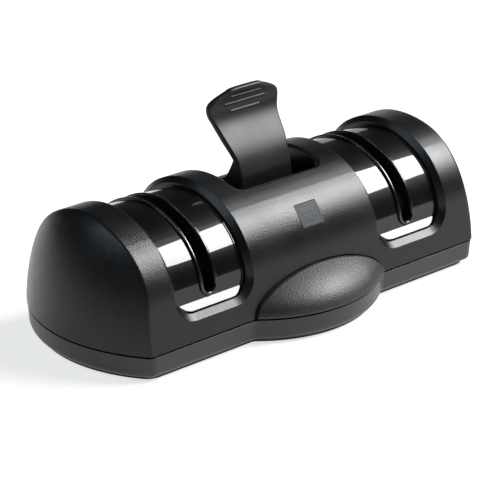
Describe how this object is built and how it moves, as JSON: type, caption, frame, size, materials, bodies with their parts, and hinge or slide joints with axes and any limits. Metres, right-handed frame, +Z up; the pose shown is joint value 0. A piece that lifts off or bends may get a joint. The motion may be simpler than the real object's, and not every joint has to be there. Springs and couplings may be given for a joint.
{
  "type": "knife sharpener",
  "caption": "Pull-through knife sharpener with an arched housing, two knife slots over crossed wheels, and a suction foot worked by a fold-back lever.",
  "frame": {"origin": "centre of the footprint, on the surface that the sharpener stands on; the front swelling is left out of the centring", "axes": "+X along the housing towards the fine slot, +Y to the back, where the lever folds, +Z up"},
  "size_m": [0.1646, 0.0757, 0.0716],
  "materials": {
    "body_plastic": "fine spark texture, black",
    "base_plastic": "fine spark texture, black",
    "pad_plastic": "fine spark texture, black",
    "lever_plastic": "satin black",
    "mark_grey": "satin grey print",
    "cover_gloss": "polished black",
    "guide_plastic": "semi-gloss black",
    "inner_plastic": "moulded black",
    "bush_plastic": "natural acetal",
    "stem_plastic": "natural acetal",
    "coarse_grit": "diamond grit on steel",
    "fine_ceramic": "fired white ceramic",
    "steel": "turned steel",
    "spring_steel": "drawn wire",
    "screw_steel": "zinc plated",
    "rubber": "matt black rubber"
  },
  "bodies": {
    "housing": {"upper_housing": "body_plastic", "base_tray": "base_plastic", "front_thumb_pad": "pad_plastic", "mark_plate": "mark_grey", "foot_ring": "rubber", "window_cover_left": "cover_gloss", "window_cover_right": "cover_gloss", "slot_guide_left": "guide_plastic", "slot_guide_right": "guide_plastic", "wheel_cartridge_left": "inner_plastic", "wheel_cartridge_right": "inner_plastic", "wheel_axles_left": "steel", "wheel_axles_right": "steel", "suction_cup": "rubber", "housing_screws": "screw_steel", "cartridge_screws": "screw_steel", "return_spring": "spring_steel"},
    "stem": {"suction_stem": "stem_plastic", "lever_pin": "steel", "pressure_plate": "steel"},
    "lever": {"lever": "lever_plastic"},
    "coarse_wheel_front": {"coarse_wheel_front": "coarse_grit", "coarse_bush_front": "bush_plastic"},
    "coarse_wheel_rear": {"coarse_wheel_rear": "coarse_grit", "coarse_bush_rear": "bush_plastic"},
    "fine_wheel_front": {"fine_wheel_front": "fine_ceramic", "fine_bush_front": "bush_plastic"},
    "fine_wheel_rear": {"fine_wheel_rear": "fine_ceramic", "fine_bush_rear": "bush_plastic"}
  },
  "joints": [
    {"name": "stem_lift", "type": "slide", "parent": "housing", "child": "stem", "axis": [0, 0, 1], "range_m": [0, 0.0024], "deforming": ["return_spring", "suction_cup"]},
    {"name": "lever_fold", "type": "hinge", "parent": "stem", "child": "lever", "pos_m": [0, -0.0005, 0.0385], "axis": [-1, 0, 0], "range_deg": [0, 90]},
    {"name": "coarse_spin_front", "type": "hinge", "parent": "housing", "child": "coarse_wheel_front", "pos_m": [-0.04485, -0.0097, 0.02225], "axis": [0.9511, 0, -0.309], "continuous": true},
    {"name": "coarse_spin_rear", "type": "hinge", "parent": "housing", "child": "coarse_wheel_rear", "pos_m": [-0.04176, 0.0097, 0.02225], "axis": [0.9511, 0, 0.309], "continuous": true},
    {"name": "fine_spin_front", "type": "hinge", "parent": "housing", "child": "fine_wheel_front", "pos_m": [0.04176, -0.0097, 0.02225], "axis": [0.9511, 0, -0.309], "continuous": true},
    {"name": "fine_spin_rear", "type": "hinge", "parent": "housing", "child": "fine_wheel_rear", "pos_m": [0.04485, 0.0097, 0.02225], "axis": [0.9511, 0, 0.309], "continuous": true}
  ],
  "couplings": [
    {"joint": "stem_lift", "follows": "lever_fold", "m_per_rad": 0.0015279}
  ]
}
